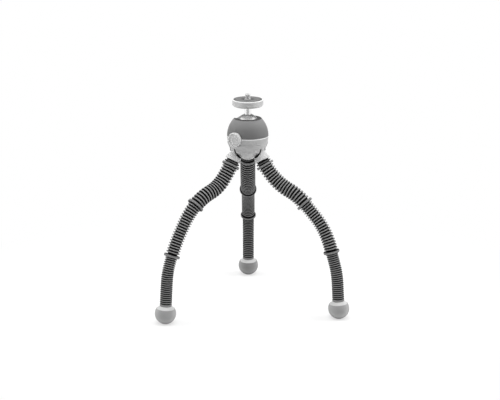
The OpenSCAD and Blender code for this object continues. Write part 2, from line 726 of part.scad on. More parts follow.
head_nodes = [
    "camera_screw", "plate_pad", "top_plate", "ball_stem", "ball_ring", "upper_dome", "lower_shell",
    "ball_seat", "knob_nut", "knob_screw", "lock_knob", "leg_anchor", "anchor_screws"
];
function link_name(leg, n) = str(sides[leg], "_", zones[link_list[n][0]], "_sleeve_", link_list[n][1] + 1);
function leg_nodes(leg) = concat(
    [str(sides[leg], "_leg_socket"), str(sides[leg], "_sleeve_root"), str(sides[leg], "_core_wire")],
    [for (n = [0 : link_count - 1]) link_name(leg, n)],
    [str(sides[leg], "_foot_cap"), str(sides[leg], "_foot_pad")]
);

camera_screw();
plate_pad();
top_plate();
ball_stem();
ball_ring();
upper_dome();
lower_shell();
ball_seat();
knob_nut();
knob_screw();
lock_knob();
leg_anchor();
anchor_screws();
for (leg = [0 : 2]) {
    leg_socket(leg);
    sleeve_root(leg);
    core_wire(leg);
    for (n = [0 : link_count - 1])
        sleeve_link(leg, n);
    foot_cap(leg);
    foot_pad(leg);
}
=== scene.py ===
"""Looks of a flexible-leg tripod: ribbed rubber sleeves, moulded plastic, metal and a plain studio."""

import json
import math

import bpy
from bpy.props import FloatProperty, FloatVectorProperty, IntProperty, PointerProperty
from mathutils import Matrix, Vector


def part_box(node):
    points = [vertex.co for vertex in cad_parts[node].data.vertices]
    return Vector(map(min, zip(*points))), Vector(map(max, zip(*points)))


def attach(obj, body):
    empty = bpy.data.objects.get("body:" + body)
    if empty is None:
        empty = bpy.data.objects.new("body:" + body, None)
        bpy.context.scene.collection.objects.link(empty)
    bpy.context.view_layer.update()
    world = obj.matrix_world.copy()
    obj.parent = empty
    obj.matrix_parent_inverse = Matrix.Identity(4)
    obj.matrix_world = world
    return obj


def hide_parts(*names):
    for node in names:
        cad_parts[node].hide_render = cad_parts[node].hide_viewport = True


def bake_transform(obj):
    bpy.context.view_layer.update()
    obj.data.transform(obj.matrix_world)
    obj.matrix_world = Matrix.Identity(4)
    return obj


bl_info = {
    "name": "Flexible-leg tripod",
    "version": (1, 0, 0),
    "blender": (4, 5, 0),
    "location": "View3D > Sidebar > Tripod",
    "description": "Dresses the tripod's solids and sets up a plain studio round them",
    "category": "Object",
}

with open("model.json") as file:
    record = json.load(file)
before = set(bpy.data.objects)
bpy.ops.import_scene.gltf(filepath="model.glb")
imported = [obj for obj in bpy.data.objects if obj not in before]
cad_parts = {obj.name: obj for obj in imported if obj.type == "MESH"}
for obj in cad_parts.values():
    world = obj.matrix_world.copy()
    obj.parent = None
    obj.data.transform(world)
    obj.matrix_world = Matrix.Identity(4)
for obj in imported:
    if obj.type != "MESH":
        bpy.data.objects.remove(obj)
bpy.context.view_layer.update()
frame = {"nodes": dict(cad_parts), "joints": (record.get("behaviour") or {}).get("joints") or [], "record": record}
RECORD = frame["record"]
JOINTS = {joint["name"]: joint for joint in frame["joints"]}
MOUNTS = {mount["name"]: mount for mount in RECORD["mounts"]}

MM = 0.001
RIGHT = Vector((1.0, 0.0, 0.0))
BACK = Vector((0.0, 1.0, 0.0))
UP = Vector((0.0, 0.0, 1.0))
WHITE = (1.0, 1.0, 1.0)

# The legs, their parts from the hub down, and the lengths that each part's sleeve is cut into
SIDES = ("left", "right", "rear")
ZONES = ("upper", "middle", "lower")
ZONE_LINKS = (3, 3, 4)

# Joints of a leg from the hub down
BEND_NAMES = (
    ("upper", "bend"), ("upper", "sway"), ("upper", "bend_2"),
    ("middle", "bend"), ("middle", "sway"), ("middle", "bend_2"),
    ("lower", "bend"), ("lower", "sway"), ("lower", "bend_2"), ("lower", "bend_3"),
)

# Painted shade: the share of the rubber's colour on each leg and foot, lower on those that get less light
LEG_PAINTED_SHADE = {"left": 1.0, "right": 1.0, "rear": 0.85}
FOOT_PAINTED_SHADE = {"left": 0.93, "right": 0.96, "rear": 0.72}

# Painted shade in the slots round the lower shell's three shields
SHIELD_DROP = 10.6 * MM  # from the seam down to the middle of a shield
SHIELD_R = 14.4 * MM
SHIELD_TURNS = (0.0, math.radians(120), math.radians(240))
SLOT_W = 1.4 * MM
SLOT_EDGE = 0.15 * MM
SLOT_TOP = -1.6 * MM  # heights from the middle of a shield
SLOT_FULL = -5 * MM
SLOT_BACK = 5 * MM  # distances in front of the hub's axis
SLOT_FRONT = 6 * MM
SLOT_PAINTED_SHADE = 0.04

# Sizes of the broad marks in the finishes
CLOUD_SIZE = 14 * MM
PATCH_SIZE = 9 * MM
MOTTLE_SIZE = 6 * MM
SCUFF_SIZE = 5 * MM

# Painted sheen of the feet and painted dark reflection on the ball, from face-on to edge-on
PAINTED_SHEEN_RISE = (0.0, 0.5)
PAINTED_GLOSS_RISE = (0.28, 0.6)
PAINTED_GLOSS_SHADE = 0.2
PAINTED_GLOSS_EDGE = 0.3 * MM


def length(name, description, default):
    """A length property, given in millimetres and kept in metres."""
    return FloatProperty(
        name=name, description=description, default=default * MM, unit="LENGTH", precision=5
    )


def tint(name, description, grey, warm=0.0):
    """A colour property that is close to a neutral grey."""
    return FloatVectorProperty(
        name=name, description=description, subtype="COLOR", size=3, min=0.0, max=1.0,
        default=(grey + warm, grey, grey - warm),
    )


class SleeveSizes(bpy.types.PropertyGroup):
    """Sizes of the ribbed sleeves, as in the solids apart from the rounding"""

    upper_ribs: IntProperty(name="Upper ribs", description="Ribs in the upper part of a leg", default=17)
    middle_ribs: IntProperty(name="Middle ribs", description="Ribs in the middle part", default=19)
    lower_ribs: IntProperty(name="Lower ribs", description="Ribs in the lower part", default=22)
    upper_pitch: length("Upper spacing", "Rib spacing in the upper part", 3.5)
    middle_pitch: length("Middle spacing", "Rib spacing in the middle part", 3.1)
    lower_pitch: length("Lower spacing", "Rib spacing in the lower part", 2.4)
    upper_d: length("Upper diameter", "Rib diameter in the upper part", 17.5)
    middle_d: length("Middle diameter", "Rib diameter in the middle part", 15.6)
    lower_d: length("Lower diameter", "Rib diameter in the lower part", 13.8)
    upper_collar_d: length("Upper collar", "Diameter of the collar of the upper part", 20.5)
    middle_collar_d: length("Middle collar", "Diameter of the collar of the middle part", 20.0)
    lower_collar_d: length("Lower collar", "Diameter of the collar of the lower part", 18.3)
    groove_depth: length("Groove depth", "Depth of the grooves between ribs", 1.8)
    rib_share: FloatProperty(name="Rib share", description="Share of the spacing a rib takes", default=0.45)
    rib_round: length("Rib rounding", "Rounding of a rib's crest", 0.5)
    collar_t: length("Collar thickness", "Thickness of a collar", 2.6)
    collar_round: length("Collar rounding", "Rounding of a collar's edge", 0.5)
    collar_gap: length("Collar gap", "Gap between a collar and the rib below it", 1.2)
    collar_space: length("Collar space", "Gap between a collar and the part above it", 2.2)
    band_d: length("Band diameter", "Diameter of the plain band at the lower end", 13.6)
    band_t: length("Band height", "Height of the plain band at the lower end", 2.6)
    plug_d: length("Plug diameter", "Diameter of the sleeve's plug in its socket", 14.7)
    plug_h: length("Plug length", "Length of the sleeve's plug in its socket", 3.0)
    wire_d: length("Wire diameter", "Diameter of the wire in a leg", 3.6)
    wire_gap: length("Wire gap", "Gap between a wire and the sleeve round it", 0.3)
    wire_tail: length("Wire tail", "Length of the wire above the socket's mouth", 22.2)
    wire_grip: length("Wire grip", "Depth of the wire in the foot", 6.0)
    foot_reach: length("Foot reach", "Distance from the leg's end to the middle of its foot", 9.0)
    foot_centre: length("Foot centre", "Height of the middle of a foot above the floor", 11.6)
    socket_lean: FloatProperty(name="Socket lean", description="Angle of a socket from straight down",
                               default=math.radians(30), subtype="ANGLE")


class Finishes(bpy.types.PropertyGroup):
    """Colours of the tripod's finishes"""

    dome: tint("Dome", "Dark plastic of the dome", 0.15)
    shell: tint("Shell", "Pale plastic of the lower shell", 0.42)
    socket: tint("Sockets", "Pale plastic of the leg sockets", 0.55)
    knob: tint("Knob", "Pale plastic of the lock knob", 0.45)
    sleeve: tint("Sleeves", "Rubber of the sleeves, on the crests of the ribs", 0.24)
    # Painted shade: the near-black that stands for the shade deep in the grooves
    groove: tint("Grooves", "Rubber of the sleeves, in the grooves", 0.003)
    foot: tint("Feet", "Rubber of the feet", 0.34)
    cap: tint("Foot caps", "Pale plastic of the foot caps", 0.56)
    plate: tint("Plate", "Painted metal of the camera plate", 0.5)
    pad: tint("Pad", "Rubber pad on the plate", 0.105)
    ball: tint("Ball", "Chromed ball and neck", 0.93)
    steel: tint("Steel", "Steel of the screws", 0.62)
    inner: tint("Inner plastic", "Low-friction plastic inside the hub", 0.66, 0.01)
    brass: FloatVectorProperty(name="Brass", description="Brass of the nut", subtype="COLOR", size=3,
                               default=(0.62, 0.45, 0.2))
    wire: tint("Wire", "Soft drawn wire in the legs", 0.6)


class Studio(bpy.types.PropertyGroup):
    """The studio and the camera"""

    camera_place: FloatVectorProperty(name="Camera place", description="Where the camera stands",
                                      subtype="TRANSLATION", default=(0.00254, -1.663, 0.5829))
    camera_dip: FloatProperty(name="Camera dip", description="How far the camera looks down",
                              subtype="ANGLE", default=math.radians(15.36))
    camera_focal: FloatProperty(name="Focal length", description="Focal length in millimetres",
                                default=108.38)
    left_power: FloatProperty(name="Left lamp", description="Power of the lamp on the left", default=8.0)
    right_power: FloatProperty(name="Right lamp", description="Power of the lamp on the right", default=10.0)
    top_power: FloatProperty(name="Top lamp", description="Power of the lamp overhead", default=17.0)
    front_power: FloatProperty(name="Front lamp", description="Power of the weak lamp in front", default=4.0)
    fill: FloatProperty(name="Fill", description="Strength of the even light all round", default=0.24)


def sizes():
    """The sleeve sizes in use."""
    return bpy.context.scene.tripod_sleeves


def finishes():
    """The colours in use."""
    return bpy.context.scene.tripod_finishes


class Flow:
    """A shader socket that takes part in Python sums."""

    def __init__(self, finish, socket):
        self.finish = finish
        self.socket = socket

    def _math(self, operation, first, second):
        return self.finish.node("ShaderNodeMath", {"operation": operation}, {0: first, 1: second})

    def __add__(self, other):
        return self._math("ADD", self, other)

    def __radd__(self, other):
        return self._math("ADD", other, self)

    def __sub__(self, other):
        return self._math("SUBTRACT", self, other)

    def __rsub__(self, other):
        return self._math("SUBTRACT", other, self)

    def __mul__(self, other):
        return self._math("MULTIPLY", self, other)

    def __rmul__(self, other):
        return self._math("MULTIPLY", other, self)

    def __truediv__(self, other):
        return self._math("DIVIDE", self, other)

    def __rtruediv__(self, other):
        return self._math("DIVIDE", other, self)


class Finish:
    """The nodes of a material, or of the world, under construction."""

    def __init__(self, name, tree=None):
        self.material = None
        if tree is None:
            self.material = bpy.data.materials.new(name)
            self.material.use_nodes = True
            tree = self.material.node_tree
        self.tree = tree
        self.tree.nodes.clear()

    def node(self, kind, settings=None, inputs=None, out=0):
        """Adds a node of that type with its settings and inputs, and returns one of its outputs."""
        made = self.tree.nodes.new(kind)
        for key, value in (settings or {}).items():
            if key == "stops":
                ramp = made.color_ramp.elements
                while len(ramp) < len(value):
                    ramp.new(1.0)
                for element, (place, colour) in zip(ramp, value):
                    element.position = place
                    element.color = colour
            else:
                setattr(made, key, value)
        for key, value in (inputs or {}).items():
            socket = made.inputs[key]
            if isinstance(value, Flow):
                self.tree.links.new(value.socket, socket)
            elif socket.type == "RGBA" and len(value) == 3:
                socket.default_value = (*value, 1.0)
            else:
                socket.default_value = value
        return Flow(self, made.outputs[out]) if len(made.outputs) else None

    def place(self):
        """Object coordinates, in metres."""
        return self.node("ShaderNodeTexCoord", out="Object")

    def noise(self, place, grain, detail=2.0):
        """Noise whose grain has that size in metres."""
        return self.node(
            "ShaderNodeTexNoise", inputs={"Vector": place, "Scale": 1.0 / grain, "Detail": detail}
        )

    def facing(self):
        """Nought where the surface is seen face-on, and one where it is seen edge-on."""
        return self.node("ShaderNodeLayerWeight", inputs={"Blend": 0.5}, out="Facing")

    def mix(self, factor, low, high):
        """A colour between two others."""
        return self.node(
            "ShaderNodeMix", {"data_type": "RGBA"}, {0: factor, 6: low, 7: high}, out=2
        )

    def fade(self, value, low, high):
        """A smooth step from nought at one value to one at another."""
        return self.node(
            "ShaderNodeMapRange", {"interpolation_type": "SMOOTHSTEP"},
            {"Value": value, "From Min": low, "From Max": high},
        )

    def along(self, vector, direction):
        """The part of a vector along a direction."""
        return self.node(
            "ShaderNodeVectorMath", {"operation": "DOT_PRODUCT"}, {0: vector, 1: direction}, out="Value"
        )

    def maths(self, operation, first, second=0.0):
        """A sum that has no sign of its own in Python."""
        return self.node("ShaderNodeMath", {"operation": operation}, {0: first, 1: second})

    def hypot(self, first, second):
        """The length of two measures that stand square to each other."""
        return self.maths("SQRT", first * first + second * second)

    def varied(self, colour, factor, strength):
        """A colour that goes from darker to paler as a factor goes from nought to one."""
        change = self.mix(factor, (1.0 - strength,) * 3, (1.0 + strength,) * 3)
        settings = {"data_type": "RGBA", "blend_type": "MULTIPLY"}
        return self.node("ShaderNodeMix", settings, {0: 1.0, 6: colour, 7: change}, out=2)

    def swung(self, level, *swings):
        """A value that noise swings evenly about a level, from pairs of noise and the swing's width."""
        total = level - sum(width for _, width in swings) / 2
        for noise, width in swings:
            total = noise * width + total
        return total

    def heights(self, place, colour, painted_light_tones):
        """A colour whose strength changes with height, from (height, share) pairs in rising order."""
        low = painted_light_tones[0][0]
        span = painted_light_tones[-1][0] - low
        level = (self.along(place, UP) - low) / span
        stops = [((height - low) / span, (*darker(colour, share), 1.0)) for height, share in painted_light_tones]
        return self.node("ShaderNodeValToRGB", {"stops": stops}, {0: level}, out="Color")

    def slots(self, place):
        """Mask of the slots' painted shade: one in the slots round the hub's three shields, and nought elsewhere.
        """
        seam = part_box("lower_shell")[1][2]
        height = self.along(place, UP) - (seam - SHIELD_DROP)
        outer_r = SHIELD_R + SLOT_W
        slot = 0.0
        for turn in SHIELD_TURNS:
            aside = self.along(place, (math.cos(turn), math.sin(turn), 0.0))
            front = self.along(place, (math.sin(turn), -math.cos(turn), 0.0))
            reach = self.hypot(aside, height)
            inner = self.fade(reach, SHIELD_R - SLOT_EDGE, SHIELD_R)
            outer = self.fade(reach, outer_r + SLOT_EDGE, outer_r)
            slot = inner * outer * self.fade(front, SLOT_BACK, SLOT_FRONT) + slot
        return slot * self.fade(height, SLOT_TOP, SLOT_FULL)

    def bump(self, height, strength, depth):
        """A surface normal from a height."""
        return self.node(
            "ShaderNodeBump", inputs={"Height": height, "Strength": strength, "Distance": depth}
        )

    def surface(self, **inputs):
        """Ends the material in a principled surface."""
        named = {}
        for key, value in inputs.items():
            named[key.replace("_", " ").title().replace("Ior", "IOR")] = value
        shader = self.node("ShaderNodeBsdfPrincipled", inputs=named)
        self.node("ShaderNodeOutputMaterial", inputs={"Surface": shader})
        return self.material


def darker(colour, share):
    """A colour at a share of its strength."""
    return tuple(channel * share for channel in colour)


def moulded_plastic(
    name, colour, roughness=0.45, grain=0.5 * MM, depth=0.015 * MM, painted_light_tones=None, painted_slot_shade=False
):
    """Moulded plastic: a fine spark-eroded grain, faint clouds, painted light by height where given, and painted
    shade in the slots where asked.
    """
    finish = Finish(name)
    place = finish.place()
    fine = finish.noise(place, grain, detail=3.0)
    cloud = finish.noise(place, CLOUD_SIZE)
    ground = finish.heights(place, colour, painted_light_tones) if painted_light_tones else colour
    shade = finish.varied(ground, fine * 0.5 + cloud * 0.5, strength=0.07)
    if painted_slot_shade:
        # Painted shade: the slots darkened beyond the shade their own depth gives
        shade = finish.mix(finish.slots(place), shade, darker(colour, SLOT_PAINTED_SHADE))
    return finish.surface(
        base_color=shade,
        roughness=finish.swung(roughness, (fine, 0.12), (cloud, 0.08)),
        normal=finish.bump(fine, strength=0.2, depth=depth),
    )


def ribbed_rubber(name, crest_colour, painted_groove_shade):
    """Rubber of the sleeves: rubbed paler on the crests in patches, with painted shade darkening the flanks and
    the grooves.
    """
    finish = Finish(name)
    place = finish.place()
    fine = finish.noise(place, grain=0.35 * MM, detail=3.0)
    patch = finish.noise(place, PATCH_SIZE, detail=3.0)
    crest = finish.node("ShaderNodeAttribute", {"attribute_name": "crest"}, out="Fac")
    # Painted shade from the crest share: dark in the grooves, rising to the crest's colour
    top = crest * crest * crest * crest
    shade = finish.mix(top, painted_groove_shade, crest_colour)
    wear = top * patch * 0.4
    worn_colour = darker(crest_colour, 1.3)
    return finish.surface(
        base_color=finish.mix(wear, shade, worn_colour),
        roughness=finish.swung(0.55, (fine, 0.1), (patch, 0.12)),
        normal=finish.bump(fine, strength=0.3, depth=0.03 * MM),
        specular_ior_level=0.1,
    )


def soft_rubber(name, colour, painted_light_tones):
    """Rubber of a foot: matt, with a fine grain, slight scuffs, painted light by height and a painted sheen
    edge-on.
    """
    finish = Finish(name)
    place = finish.place()
    fine = finish.noise(place, grain=0.4 * MM, detail=3.0)
    scuff = finish.noise(place, SCUFF_SIZE, detail=4.0)
    ground = finish.heights(place, colour, painted_light_tones)
    shade = finish.varied(ground, fine * 0.4 + scuff * 0.6, strength=0.1)
    # Painted sheen: the feet paler where they are seen edge-on
    painted_sheen = finish.fade(finish.facing(), *PAINTED_SHEEN_RISE)
    return finish.surface(
        base_color=finish.varied(shade, painted_sheen, strength=0.12),
        roughness=finish.swung(0.55, (scuff, 0.16)),
        normal=finish.bump(fine, strength=0.4, depth=0.04 * MM),
        specular_ior_level=0.35,
    )


def bright_metal(
    name, colour, roughness=0.35, grain=0.3 * MM, depth=0.01 * MM, metallic=1.0, painted_light_tones=None, painted_gloss_below=None
):
    """Metal with a fine grain, painted light by height where given, and below a given height a painted dark
    reflection where it is seen edge-on.
    """
    finish = Finish(name)
    place = finish.place()
    fine = finish.noise(place, grain, detail=4.0)
    mottle = finish.noise(place, MOTTLE_SIZE)
    ground = finish.heights(place, colour, painted_light_tones) if painted_light_tones else colour
    shade = finish.varied(ground, mottle, strength=0.06)
    # Painted dark reflection on the ball below the neck, where it is seen edge-on
    if painted_gloss_below is not None:
        height = finish.along(place, UP)
        under = finish.fade(height, painted_gloss_below + PAINTED_GLOSS_EDGE, painted_gloss_below - PAINTED_GLOSS_EDGE)
        edge = finish.fade(finish.facing(), *PAINTED_GLOSS_RISE)
        shade = finish.mix(edge * under, shade, darker(colour, PAINTED_GLOSS_SHADE))
    return finish.surface(
        base_color=shade,
        roughness=finish.swung(roughness, (fine, 0.1), (mottle, 0.06)),
        metallic=metallic,
        normal=finish.bump(fine, strength=0.25, depth=depth),
    )


def dress(node, material):
    """Gives a solid's object a material in each of its slots."""
    for slot in frame["nodes"][node].material_slots:
        slot.material = material


def mesh_piece(name, points, faces, material, sharp=45.0):
    """A smooth-shaded mesh object with creases kept sharp."""
    mesh = bpy.data.meshes.new(name)
    mesh.from_pydata(points, [], faces)
    mesh.validate()
    mesh.polygons.foreach_set("use_smooth", [True] * len(mesh.polygons))
    mesh.set_sharp_from_angle(angle=math.radians(sharp))
    mesh.materials.append(material)
    piece = bpy.data.objects.new(name, mesh)
    bpy.context.scene.collection.objects.link(piece)
    return piece


def ring_faces(firsts, around, capped=True):
    """Faces between rings of points, given by each ring's first point, with a cap on either end."""
    faces = []
    if capped:
        top, bottom = (range(first, first + around) for first in (firsts[0], firsts[-1]))
        faces += [tuple(reversed(top)), tuple(bottom)]
    for here, there in zip(firsts, firsts[1:]):
        for k in range(around):
            after = (k + 1) % around
            faces.append((here + k, here + after, there + after, there + k))
    return faces


def tube_mesh(rings, around, bore=()):
    """Points and faces of a closed tube through rings of (centre, first axis, second axis, radius)."""
    points = []
    for centre, across, aside, radius in (*rings, *bore):
        for k in range(around):
            turn = 2 * math.pi * k / around
            points.append(centre + across * (radius * math.cos(turn)) + aside * (radius * math.sin(turn)))
    firsts = [i * around for i in range(len(rings) + len(bore))]
    order = firsts[:len(rings)] + firsts[len(rings):][::-1]
    if bore:
        order.append(order[0])
    return points, ring_faces(order, around, capped=not bore)


class LegPath:
    """A leg's centreline: arcs through the joints of the leg, tangent to each other."""

    step = 3 * MM  # the most between even rings
    fit_rounds = 20  # rounds in which the last arc settles
    straight = 1e-4  # radians, under which an arc counts as straight

    def __init__(self, side):
        size = sizes()
        self.joints = [JOINTS[f"{side}_{zone}_{kind}"] for zone, kind in BEND_NAMES]
        self.bodies = ["hub"] + [joint["child"] for joint in self.joints]
        pivots = [Vector(joint["pos_m"]) for joint in self.joints]
        self.origin = pivots[0]
        self.aside = -Vector(self.joints[0]["axis"])
        self.out = self.aside.cross(UP)
        self.socket_out = Vector((self.origin.x, self.origin.y, 0.0)).normalized()
        knots = [((p - self.origin).dot(self.out), (p - self.origin).z) for p in pivots]
        angles = [size.socket_lean]
        for here, there in zip(knots, knots[1:]):
            angles.append(2 * self.chord(here, there) - angles[-1])
        foot = Vector(MOUNTS[f"{side}_foot"]["pos_m"]) + UP * size.foot_centre - self.origin
        foot = (foot.dot(self.out), foot.z)
        # The last arc ends above the foot, in line with its own direction there
        last = angles[-1]
        for _ in range(self.fit_rounds):
            end = (
                foot[0] - size.foot_reach * math.sin(last),
                foot[1] + size.foot_reach * math.cos(last),
            )
            last = (last + 2 * self.chord(knots[-1], end) - angles[-1]) / 2
        self.knots = knots + [end]
        self.angles = angles + [last]

    @staticmethod
    def chord(here, there):
        """Angle from straight down of the line between two points of the leg's plane."""
        return math.atan2(there[0] - here[0], here[1] - there[1])

    def even_rings(self, cuts, low, high, radius):
        """Rings of one radius, evenly spaced over a stretch of the leg."""
        count = math.ceil((high - low) / self.step)
        places = [low + (high - low) * i / count for i in range(count + 1)]
        return [(*self.at(cuts, s), radius) for s in places]

    def at(self, cuts, s):
        """The place, the direction across and the direction aside at a distance along the leg."""
        count = len(cuts) - 1
        if s < 0:
            lean = self.angles[0]
            out = self.socket_out
            place = self.origin + out * (s * math.sin(lean)) - UP * (s * math.cos(lean))
            return place, out * math.cos(lean) + UP * math.sin(lean), UP.cross(out)
        n = max(i for i in range(count) if cuts[i] <= s)
        share = (s - cuts[n]) / (cuts[n + 1] - cuts[n])
        start, stop = self.angles[n], self.angles[n + 1]
        here, there = self.knots[n], self.knots[n + 1]
        lean = start + (stop - start) * min(share, 1.0)
        if share > 1.0:
            past = s - cuts[-1]
            flat = (there[0] + past * math.sin(lean), there[1] - past * math.cos(lean))
        elif abs(stop - start) < self.straight:
            flat = tuple(a + (b - a) * share for a, b in zip(here, there))
        else:
            gap = math.dist(here, there)
            radius = gap / (2 * math.sin((stop - start) / 2))
            flat = (
                here[0] + radius * (math.cos(start) - math.cos(lean)),
                here[1] + radius * (math.sin(start) - math.sin(lean)),
            )
        place = self.origin + self.out * flat[0] + UP * flat[1]
        return place, self.out * math.cos(lean) + UP * math.sin(lean), self.aside


class SleevePlan:
    """Where the rings of a sleeve lie along a leg, and where the sleeve is cut into pieces."""

    # Painted shade as shares of the crest's colour: on the first rib and the collars under the hub, on the flanks
    # and on the crests' rounded edges
    first_rib_painted_shade = 0.75
    collar_painted_shade = 0.93
    flank_painted_shade = 0.35
    edge_painted_shade = 0.6
    flank_rise = 0.45  # share of a rib's height at which the flank has its painted shade
    round_share = 0.9  # the most of a rib's half thickness that is rounded
    round_steps = 3

    def __init__(self):
        size = sizes()
        self.ribs = (size.upper_ribs, size.middle_ribs, size.lower_ribs)
        self.pitch = (size.upper_pitch, size.middle_pitch, size.lower_pitch)
        self.rib_r = (size.upper_d / 2, size.middle_d / 2, size.lower_d / 2)
        self.collar_r = (size.upper_collar_d / 2, size.middle_collar_d / 2, size.lower_collar_d / 2)
        self.rib_t = tuple(pitch * size.rib_share for pitch in self.pitch)
        self.mouth = -(self.pitch[0] - self.rib_t[0]) / 2
        self.links = self.make_links(size)
        self.end = self.links[-1][-1][0] + size.band_t / 2
        self.cuts = [0.0]
        for above, below in zip(self.links, self.links[1:]):
            self.cuts.append((self.bottom(above[-1]) + self.top(below[0])) / 2)
        self.cuts.append(self.end)
        self.breaks = self.find_breaks()
        self.line = self.outline(size.groove_depth)

    @staticmethod
    def top(ring):
        """Where a ring begins along the leg."""
        return ring[0] - ring[2] / 2

    @staticmethod
    def bottom(ring):
        """Where a ring ends along the leg."""
        return ring[0] + ring[2] / 2

    def make_links(self, size):
        """Rings of each link, as (place, radius, thickness, rounding, zone, share of the crest's colour, which
        paints shade).
        """
        links = []
        below = 0.0
        for zone in range(len(ZONES)):
            t = self.rib_t[zone]
            rib = (self.rib_r[zone], t, size.rib_round, zone, 1.0)
            if zone == 0:
                first = (self.pitch[0] / 2, *rib[:-1], self.first_rib_painted_shade)
                collar_at = self.bottom(first) + size.collar_gap + size.collar_t / 2
            else:
                collar_at = below + size.collar_space + size.collar_t / 2
            collar_r = self.collar_r[zone]
            collar = (collar_at, collar_r, size.collar_t, size.collar_round, zone, self.collar_painted_shade)
            start = self.bottom(collar) + size.collar_gap + t / 2
            ribs = [(start + i * self.pitch[zone], *rib) for i in range(self.ribs[zone])]
            shares = ZONE_LINKS[zone]
            edges = [k * self.ribs[zone] // shares for k in range(shares + 1)]
            parts = [ribs[a:b] for a, b in zip(edges, edges[1:])]
            parts[0].insert(0, collar)
            if zone == 0:
                parts[0].insert(0, first)
            links += parts
            below = self.bottom(ribs[-1])
        groove = self.pitch[-1] - self.rib_t[-1]
        band_at = below + groove + size.band_t / 2
        last_zone = len(ZONES) - 1
        links[-1].append((band_at, size.band_d / 2, size.band_t, size.rib_round, last_zone, 1.0))
        return links

    def find_breaks(self):
        """Where one piece of skin ends and the next begins: the groove nearest each link's middle."""
        places = [self.mouth]
        for link, low, high in zip(self.links, self.cuts, self.cuts[1:]):
            middle = (low + high) / 2
            grooves = [(self.bottom(a) + self.top(b)) / 2 for a, b in zip(link, link[1:])]
            places.append(min(grooves, key=lambda s: abs(s - middle)))
        return places

    def outline(self, depth):
        """The sleeve's outline from top to bottom, as (place, radius, share of the crest's colour, which paints
        shade).
        """
        line = [(self.mouth, self.rib_r[0] - depth, 0.0)]
        for link in self.links:
            for place, radius, thick, round_r, zone, painted_shade_share in link:
                core = self.rib_r[zone] - depth
                half = thick / 2
                edge = min(round_r, half * self.round_share)
                flank_r = core + (radius - core) * self.flank_rise
                steps = [(half, core, 0.0), (half, flank_r, self.flank_painted_shade)]
                for k in range(self.round_steps + 1):
                    turn = math.pi / 2 * k / self.round_steps
                    steps.append((
                        half - edge * (1 - math.cos(turn)),
                        radius - edge * (1 - math.sin(turn)),
                        self.edge_painted_shade + (1 - self.edge_painted_shade) * math.sin(turn),
                    ))
                line += [(place - a, r, c * painted_shade_share) for a, r, c in steps]
                line += [(place + a, r, c * painted_shade_share) for a, r, c in reversed(steps)]
        return line

    def stretch(self, n):
        """The outline over a joint, from the groove above it to the one below or to the leg's end."""
        low = self.breaks[n]
        high = self.end if n == len(self.links) - 1 else self.breaks[n + 1]
        inside = [p for p in self.line if low < p[0] < high]
        return [(low, inside[0][1], 0.0)] + inside + [(high, inside[-1][1], 0.0)]


def bend_with_leg(piece, path, plan, n):
    """Bakes a piece's placing into its mesh; the places of the grooves above and below its joint are found but not
    used, so the piece doesn't bend with the leg.
    """
    start = path.at(plan.cuts, plan.breaks[n])[0]
    end = path.at(plan.cuts, plan.breaks[n + 1])[0]
    path.bodies[n + 1]
    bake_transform(piece)


class TRIPOD_OT_leg_sleeves(bpy.types.Operator):
    """Ribbed rubber sleeves, one piece of skin over each joint of each leg"""

    bl_idname = "tripod.leg_sleeves"
    bl_label = "Leg sleeves"

    around = 40
    plug_gap = 0.1 * MM

    def execute(self, context):
        colours = finishes()
        plan = SleevePlan()
        for side in SIDES:
            path = LegPath(side)
            # Painted shade: the same rubber, darkened on the legs that get less light
            crest_colour = darker(colours.sleeve, LEG_PAINTED_SHADE[side])
            rubber = ribbed_rubber(f"{side}_sleeve_rubber", crest_colour, colours.groove)
            names = []
            for zone, count in zip(ZONES, ZONE_LINKS):
                names += [f"{side}_{zone}_sleeve_{k + 1}" for k in range(count)]
            for n in range(len(path.joints)):
                part = plan.stretch(n)
                replaced = names[max(n - 1, 0):n + 1]
                if n == 0:
                    part = self.plug(plan) + part
                    replaced.append(f"{side}_sleeve_root")
                piece = self.skin(f"{side}_sleeve_skin_{n + 1:02d}", path, plan, part, rubber)
                bend_with_leg(piece, path, plan, n)
                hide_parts(*replaced)
        return {"FINISHED"}

    def plug(self, plan):
        """The outline of the sleeve's plug in its socket."""
        size = sizes()
        ends = (plan.mouth - size.plug_h, plan.mouth - self.plug_gap)
        return [(place, size.plug_d / 2, 0.0) for place in ends]

    def skin(self, name, path, plan, part, rubber):
        """A closed stretch of sleeve with a bore for its wire, and a share of the crest's colour at each point,
        which paints shade.
        """
        size = sizes()
        rings = [(*path.at(plan.cuts, s), r) for s, r, _ in part]
        bore_r = size.wire_d / 2 + size.wire_gap
        bore = path.even_rings(plan.cuts, part[0][0], part[-1][0], bore_r)
        points, faces = tube_mesh(rings, self.around, bore)
        piece = mesh_piece(name, points, faces, rubber)
        # The share of the crest's colour at each point, painting shade on flanks and grooves
        crest = piece.data.attributes.new("crest", "FLOAT", "POINT")
        shares = [c for _, _, c in part] + [0.0] * len(bore)
        crest.data.foreach_set("value", [c for c in shares for _ in range(self.around)])
        return piece


class TRIPOD_OT_core_wires(bpy.types.Operator):
    """Bendable wires inside the legs, which follow the sleeves"""

    bl_idname = "tripod.core_wires"
    bl_label = "Core wires"

    around = 12

    def execute(self, context):
        size = sizes()
        plan = SleevePlan()
        metal = bright_metal("wire_metal", finishes().wire)
        ends = [-size.wire_tail, *plan.breaks[1:-1], plan.end + size.wire_grip]
        for side in SIDES:
            path = LegPath(side)
            for n, (low, high) in enumerate(zip(ends, ends[1:])):
                rings = path.even_rings(plan.cuts, low, high, size.wire_d / 2)
                points, faces = tube_mesh(rings, self.around)
                piece = mesh_piece(f"{side}_wire_{n + 1:02d}", points, faces, metal)
                bend_with_leg(piece, path, plan, n)
                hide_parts(f"{side}_core_wire")
        return {"FINISHED"}


